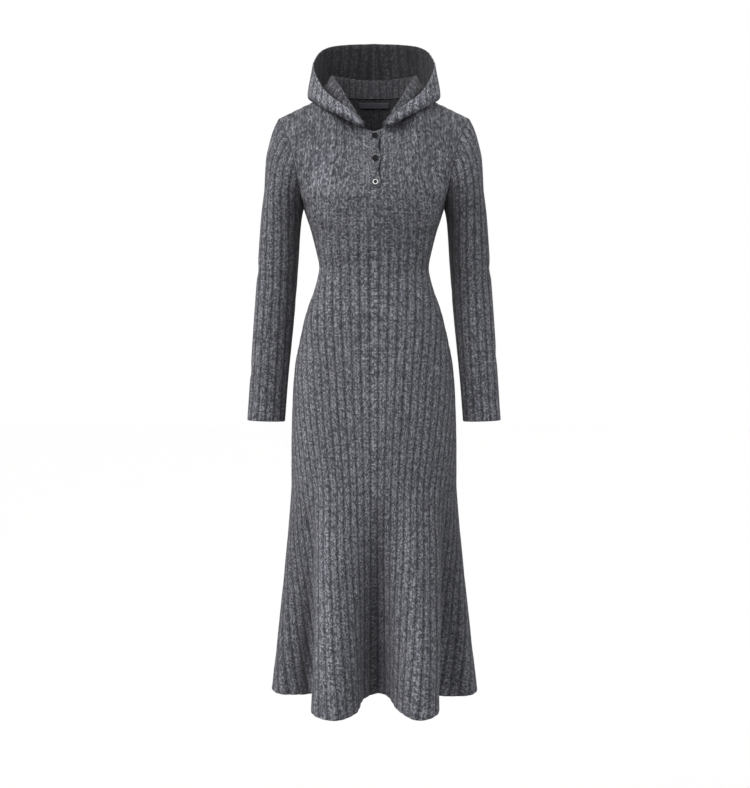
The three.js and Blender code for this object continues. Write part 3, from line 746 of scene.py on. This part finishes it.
def sleeveShade(sign):  # the side toward the body lies in its shade, and the outer line is light
    def shade(u, z, place):
        low = smooth(-z, 150, 225)
        light = (0.84 if sign < 0 else 0.8) + (0.2 if sign < 0 else 0.12) * (1 - smooth(abs(u), 0.15, 0.5))
        inner = (0.2 + 0.34 * smooth(z, -620, -300)) * smooth(abs(u), 0.45, 0.85)
        return light - (inner + (0.06 if sign < 0 else 0.2 * smooth(z, -460, -300))) * low
    return shade


def sleevePiece(sign, creases):  # a crease's place is across in degrees round from the outer line, then z
    closed = 1 - fine["slit"]
    return {
        "point": lambda u, z: sleevePoint(sign, u, z), "rows": sleeveRows, "way": sleeveWay(sign),
        "ends": (-closed, closed), "pitch": lambda z: sleeve["pitch"], "wall": cut["wall"],
        "rise": cut["ribRise"], "roundedRows": (0,), "creases": creases,
        "creasePlace": lambda u, z, place: Vector((u * 105, z)), "shade": sleeveShade(sign),
    }


sleeveCreases = {
    -1: [
        Crease("elbow front", (-78, -330), (12, -352), 11, -4, 4),
        Crease("elbow back", (20, -372), (92, -352), 12, -4.5, -4),
        Crease("under the elbow", (-96, -392), (-30, -420), 11, -3.5, 3),
        Crease("forearm", (-60, -520), (10, -542), 12, -3, 3),
        Crease("upper arm", (-88, -232), (-24, -262), 14, -4, 4),
        Crease("above the cuff", (14, -588), (70, -600), 10, -2.5, 2),
        Crease("back of the arm", (36, -250), (90, -285), 13, -3.5, -3),
    ],
    1: [
        Crease("elbow front", (-14, -340), (80, -362), 11, -4, -4),
        Crease("elbow back", (-94, -345), (-24, -378), 12, -4, 4),
        Crease("under the elbow", (28, -400), (96, -380), 10, -3.5, -3),
        Crease("forearm", (-6, -500), (62, -528), 12, -3, -3),
        Crease("upper arm", (22, -268), (90, -238), 14, -4, -4),
        Crease("above the cuff", (-66, -584), (-12, -602), 10, -2.5, 2),
        Crease("back of the arm", (-92, -262), (-34, -240), 13, -3, 3),
    ],
}
for side, sign in (("left", -1), ("right", 1)):
    piece = sleevePiece(sign, sleeveCreases[sign])
    worn = dress(clothMesh(f"sleeve_{side}_cloth", piece), knitted, "knit", f"sleeve_{side}")


# Hood, in two halves from the front end to the centre back
def hoodPitch(sign):
    lengths = {}

    def pitch(v):
        if v not in lengths:
            steps = 40
            spots = [hoodHalf(sign, i / steps, v) for i in range(steps + 1)]
            lengths[v] = sum((b - a).length for a, b in zip(spots, spots[1:])) / hood["ribs"]
        return lengths[v]
    return pitch


def hoodHalf(sign, u, v):
    place = hoodPoint(u if sign > 0 else 1 - u, v)
    place.x = max(place.x, 0) * sign
    return place


def hoodWay(way, place, v):
    if abs(place.x) < 0.01:
        way.x = 0
    return way.normalized()


hoodCreases = [  # a crease's place is the angle round from the centre front, then the share toward the rim
    Crease("front fold", (24, 20), (58, 30), 5, -2.5, 2),
    Crease("side fold", (70, 42), (118, 38), 5, 3, -3),
    Crease("slack at the side", (96, 66), (150, 58), 6, -4, 3),
    Crease("slack at the back", (128, 78), (176, 72), 6, 4, 2),
    Crease("pouch fold", (132, 52), (172, 62), 5, -4, 3),
    Crease("rim ripple", (60, 92), (84, 84), 6, -2, 1),
]


# Painted light on the hood's outer walls, painted shade on the underside, the neck bands and the far wall inside
hoodShading = {"walls": 1.25, "underside": 0.8, "frontBand": 0.55, "backBand": 0.21, "farWall": 0.14}


hoodShades = {  # soft folds painted as light and shade on the inside
    -1: [Crease("light fold", (152, 56), (156, 100), 7, 0.07), Crease("dark fold", (173, 56), (175, 102), 4, -0.07)],
    1: [Crease("light fold", (164, 58), (166, 100), 6, 0.05), Crease("dark fold", (148, 58), (146, 100), 5, -0.05)],
}


def hoodPiece(sign):
    def place(u, v, spot):
        return Vector((mixed(hoodStations.places[0], 180, u if sign > 0 else 1 - u), v * 100))

    # painted shade inside the hood, darker toward the back and deep inside
    def hollow(u, v, spot):
        turn = place(u, v, spot).x
        band = mixed(hoodShading["frontBand"], hoodShading["backBand"], smooth(turn, 60, 125))
        inside = mixed(band, hoodShading["farWall"], smooth(v, 0.36, 0.47))
        return inside + creased(hoodShades[sign], place(u, v, spot))

    # painted light on the outer walls, less on the underside
    def shade(u, v, spot):
        return mixed(hoodShading["underside"], hoodShading["walls"], smooth(v, 0.5, 0.64))
    rows = [i / hood["rows"] for i in range(hood["rows"] + 1)]
    return {
        "point": lambda u, v: hoodHalf(sign, u, v), "rows": rows, "ends": (0, 1), "way": hoodWay,
        "pitch": hoodPitch(sign), "wall": hood["wall"], "rise": hood["rise"],
        "roundedRows": (hood["rows"],), "creases": hoodCreases, "creasePlace": place,
        "shade": shade, "hollow": hollow, "ownCourses": True,
    }


for side, sign in (("left", -1), ("right", 1)):
    worn = dress(clothMesh(f"hood_{side}_cloth", hoodPiece(sign)), knitted, "knit", f"hood_{side}")


# Placket over the front opening; its free edge waves between the buttons
placket = {
    "left": -12.5, "right": 10.5, "wave": 2.4, "waveTop": -93, "waveLength": 44.5, "bottomStep": 0.13,
    "wall": 2.0, "rise": 0.8, "clear": 3.5, "rows": 40, "pitch": 9.2,
}


def centreHeight(z):  # height at the centre front of the row that has the height z at the seam
    return mixed(cut["armpitZ"], -cut["neckDrop"][-1], seamStep(z))


def rowAtCentre(side, z):  # row of a panel that passes the height z on its centre line
    top = -cut["neckDrop"][side]
    return mixed(cut["armpitZ"], cut["tipZ"], (z - cut["armpitZ"]) / (top - cut["armpitZ"]))


def placketSpan(z):
    turn = 2 * math.pi * (centreHeight(z) - placket["waveTop"]) / placket["waveLength"]
    return placket["left"], placket["right"] + placket["wave"] * math.cos(turn)


placketSteps = [mixed(placket["bottomStep"], 1, i / placket["rows"]) for i in range(placket["rows"] + 1)]
placketPiece = {
    "point": lambda u, z: bodyPoint(-1, u, z), "way": bodyWay(-1), "span": placketSpan,
    "rows": [mixed(cut["armpitZ"], cut["tipZ"], step) for step in placketSteps],
    "pitch": lambda z: placket["pitch"], "lift": placket["clear"], "wall": placket["wall"],
    "rise": placket["rise"], "roundedRows": (0, placket["rows"]), "creasePlace": bodyPlace,
    "creases": [Crease("stitched edge", (-13, -230), (-13, -60), 5, -2.8),
                Crease("bottom end", (-30, -194), (30, -194), 5, -3)],
    "groove": chestGroove,
}
dress(clothMesh("placket_cloth", placketPiece), knitted, "knit", "placket")

# Woven label inside the back of the neck, left blank
label = {"half": 29.5, "high": 11, "below": 9, "thick": 0.8, "lift": -1.22, "rows": 8, "pitch": 16}
labelTop = -cut["neckDrop"][1] - label["below"]
labelRows = [rowAtCentre(1, labelTop - label["high"] * (1 - i / label["rows"])) for i in range(label["rows"] + 1)]
labelPiece = {
    "point": lambda u, z: bodyPoint(1, u, z), "way": bodyWay(1), "rows": labelRows,
    "span": lambda z: (-label["half"], label["half"]), "pitch": lambda z: label["pitch"],
    "lift": label["lift"], "wall": label["thick"], "rise": 0,
}
woven = plainFinish("label_satin", (0.018, 0.019, 0.03), 0.55, 900, 0.5, Sheen_Weight=0.1)
dress(clothMesh("label_cloth", labelPiece), [woven, woven], "label", "label")

# Buttons, turned from a profile, with four near-black discs painted as the shade of the holes, and the thread
# through them
button = {
    "thick": 2.4, "rim": 1.3, "dish": 0.8, "sides": 40, "hole": 0.62, "holeOut": 1.25, "thread": 0.36,
    "threadUp": 0.35, "lift": 1.8 + 1.4 + 2.0 + 0.8 + 0.6,
}
buttonPlaces = {  # height, place across, radius, finish of the rim and of the dish; the third button's pale rim is a painted reflection
    "button_1": (-93, 1.5, 5.5, "dark", "dark"),
    "button_2": (-137, 2.5, 5.5, "dark", "dark"),
    "button_3": (-182, 3, 5.2, "pale", "dark"),
}
buttonFinishes = {
    "dark": plainFinish("button_dark", (0.005, 0.004, 0.005), 0.55, 260, 0.3, Specular_IOR_Level=0.2),
    # the third button's pale rim: a painted reflection on a dark button
    "pale": plainFinish("button_pale", (0.84, 0.84, 0.85), 0.3, 240, 0.05, Coat_Weight=0.3),
    # near-black painted shade for the holes
    "hole": plainFinish("button_hole_shade", (0.003, 0.003, 0.003), 0.9, 300, 0.2),
    "thread": plainFinish("button_thread", (0.02, 0.02, 0.023), 0.8, 2600, 0.6),
}


def turnedButton(radius):
    half, rim = button["thick"] / 2, button["rim"]
    floor = half - button["dish"]
    profile = [
        (0, -half), (radius - 0.7, -half), (radius - 0.2, -half + 0.25), (radius, -half + 0.8),
        (radius, half - 0.7), (radius - 0.2, half - 0.2), (radius - 0.6, half), (radius - rim, half),
        (radius - rim - 0.5, half - 0.3), (radius - rim - 0.9, floor), (0, floor),
    ]
    form = bmesh.new()
    verts = [form.verts.new((out, 0, up)) for out, up in profile]
    edges = [form.edges.new(pair) for pair in zip(verts, verts[1:])]
    bmesh.ops.spin(form, geom=verts + edges, cent=(0, 0, 0), axis=(0, 0, 1), angle=2 * math.pi,
                   steps=button["sides"], use_merge=True)
    bmesh.ops.remove_doubles(form, verts=form.verts, dist=0.001)
    bmesh.ops.recalc_face_normals(form, faces=form.faces)
    dishEdge = radius - rim - 0.3
    for face in form.faces:
        centre = face.calc_center_median()
        face.material_index = int(centre.z > 0 and math.hypot(centre.x, centre.y) < dishEdge)
        face.smooth = True
    # four dark discs on the dish, painted as the shade in the holes
    for i in range(4):
        spot = Matrix.Rotation(math.radians(45 + 90 * i), 4, "Z") @ Vector((button["holeOut"], 0, floor))
        known = set(form.faces)
        bmesh.ops.create_cone(form, cap_ends=True, segments=16, radius1=button["hole"], radius2=button["hole"] * 0.9,
                              depth=0.16, matrix=Matrix.Translation(spot))
        for face in set(form.faces) - known:
            face.material_index = 2
    for turn in (45, 135):
        known = set(form.faces)
        lie = Matrix.Translation((0, 0, floor + button["threadUp"])) @ Matrix.Rotation(math.radians(turn), 4, "Z")
        bmesh.ops.create_cone(form, cap_ends=True, segments=12, radius1=button["thread"],
                              radius2=button["thread"], depth=2.6 * button["holeOut"],
                              matrix=lie @ Matrix.Rotation(math.radians(90), 4, "Y"))
        for face in set(form.faces) - known:
            face.material_index = 3
            face.smooth = True
    return form


for name, (z, x, radius, rimFinish, dishFinish) in buttonPlaces.items():
    form = turnedButton(radius)
    row = rowAtCentre(-1, z)
    share = power(x / armholeSeam(-1, 0.5).x, cut["formPower"] / 2)
    u = 2 / math.pi * math.asin(share)
    near = [bodyPoint(-1, u + 0.01, row) - bodyPoint(-1, u - 0.01, row),
            bodyPoint(-1, u, row + 1) - bodyPoint(-1, u, row - 1)]
    way = near[0].cross(near[1]).normalized()
    spot = bodyPoint(-1, u, row) + way * (button["lift"] + button["thick"] / 2)
    turned = Matrix.Translation(spot) @ way.to_track_quat("Z", "X").to_matrix().to_4x4()
    bmesh.ops.transform(form, matrix=turned, verts=form.verts)
    obj = finished(form, name + "_turned")
    finishes = [buttonFinishes[finish] for finish in (rimFinish, dishFinish, "hole", "thread")]
    dress(obj, finishes, "button_pale" if rimFinish == "pale" else "button_dark", name)
print("placket, label and buttons made")

# Linked seams: a thin knitted ridge that closes each join
seam = {"round": 1.15, "points": 48, "turn": 6}
seamYarn = plainFinish("seam_yarn", (0.055, 0.056, 0.064), 0.95, 700, 0.7, Sheen_Weight=0.12)


def seamRidge(name, points, radius=seam["round"]):
    curve = bpy.data.curves.new(name, "CURVE")
    curve.dimensions = "3D"
    curve.bevel_depth = radius * mm
    curve.bevel_resolution = 2
    curve.use_fill_caps = True
    spline = curve.splines.new("POLY")
    spline.points.add(len(points) - 1)
    for point, place in zip(spline.points, points):
        point.co = (*(place * mm), 1)
    obj = bpy.data.objects.new(name, curve)
    bpy.context.scene.collection.objects.link(obj)
    return dress(obj, [seamYarn], "knit")


def along(count):
    return [i / count for i in range(count + 1)]


for side, sign in (("left", -1), ("right", 1)):
    mirror = Matrix.Diagonal((sign, 1, 1))
    ring = []
    for face in (-1, 1):
        part = []
        for i in along(seam["points"]):
            step = 0.5 - 0.5 * math.cos(math.pi * i)
            part.append(mirror @ (armholeSeam(face, step) + armholeWay(face, step, 1) * 1.5))
        ring += part if face < 0 else part[-2:0:-1]
    seamRidge(f"armhole_seam_{side}", ring + ring[:1])
    rise = shoulderWay * 1.7
    shoulder = [Vector((mixed(cut["neckHalf"], cut["tipX"], i), 0, cut["tipZ"] * i)) + rise for i in along(12)]
    seamRidge(f"shoulder_seam_{side}", [mirror @ place for place in shoulder])
    rows = [row for row in lowerRows if row > cut["hemZ"] + 2]
    seamRidge(f"side_seam_{side}", [bodyPoint(-1, sign, row) + Vector((sign * 1.1, 0, 0)) for row in rows], 1.0)
    neckline = [neckSeam(mixed(hoodStations.places[0], 180, i)) for i in along(seam["points"])]
    seamRidge(f"neck_seam_{side}", [mirror @ place for place in neckline], 0.9)
hoodJoin = [hoodPoint(1, 0.02 + 0.96 * i) for i in along(seam["points"])]
seamRidge("hood_seam", [Vector((0, place.y, place.z)) for place in hoodJoin], 1.0)
print("seams made")

# Plain pale floor and soft studio light
stage = {"floorZ": -2400, "floorSize": 60000, "floorTone": (0.97, 0.97, 0.97)}
floorForm = bmesh.new()
bmesh.ops.create_grid(floorForm, x_segments=4, y_segments=4, size=stage["floorSize"] / 2)
bmesh.ops.translate(floorForm, vec=(0, 0, stage["floorZ"]), verts=floorForm.verts)
floor = finished(floorForm, "floor")
floor.data.materials.append(plainFinish("floor_paint", stage["floorTone"], 0.85, 3, 0.006))
floor.visible_diffuse = False  # the floor shows, but sends no light up into the folds

lights = [  # name, where the light comes from, its strength, its softness in degrees, tint
    ("key", (-0.75, -0.62, 0.72), 2.7, 55, (1, 0.994, 0.985)),
    ("fill", (1.0, -0.5, 0.5), 0.95, 60, (0.975, 0.985, 1)),
    ("front", (0.05, -1.0, 0.55), 0.75, 45, (1, 1, 1)),
    ("behind", (0.25, 0.8, 0.9), 0.7, 60, (1, 1, 1)),
]
for name, origin, strength, softness, tint in lights:
    lamp = bpy.data.lights.new(name, "SUN")
    lamp.energy, lamp.angle, lamp.color = strength, math.radians(softness), tint
    lampObject = bpy.data.objects.new(name, lamp)
    lampObject.rotation_euler = (-Vector(origin)).to_track_quat("-Z", "Y").to_euler()
    bpy.context.scene.collection.objects.link(lampObject)

sky = {"glow": 0.15, "seen": 1.0}
world = bpy.data.worlds.new("studio")
bpy.context.scene.world = world
world.use_nodes = True
skyTree = world.node_tree
background = skyTree.nodes["Background"]
background.inputs["Color"].default_value = (1, 1, 1, 1)
rays = skyTree.nodes.new("ShaderNodeLightPath")
strength = skyTree.nodes.new("ShaderNodeMapRange")
strength.inputs["To Min"].default_value = sky["glow"]
strength.inputs["To Max"].default_value = sky["seen"]
skyTree.links.new(rays.outputs["Is Camera Ray"], strength.inputs["Value"])
skyTree.links.new(strength.outputs["Result"], background.inputs["Strength"])
bpy.context.scene.view_settings.view_transform = "Standard"
print("stage and lights placed")
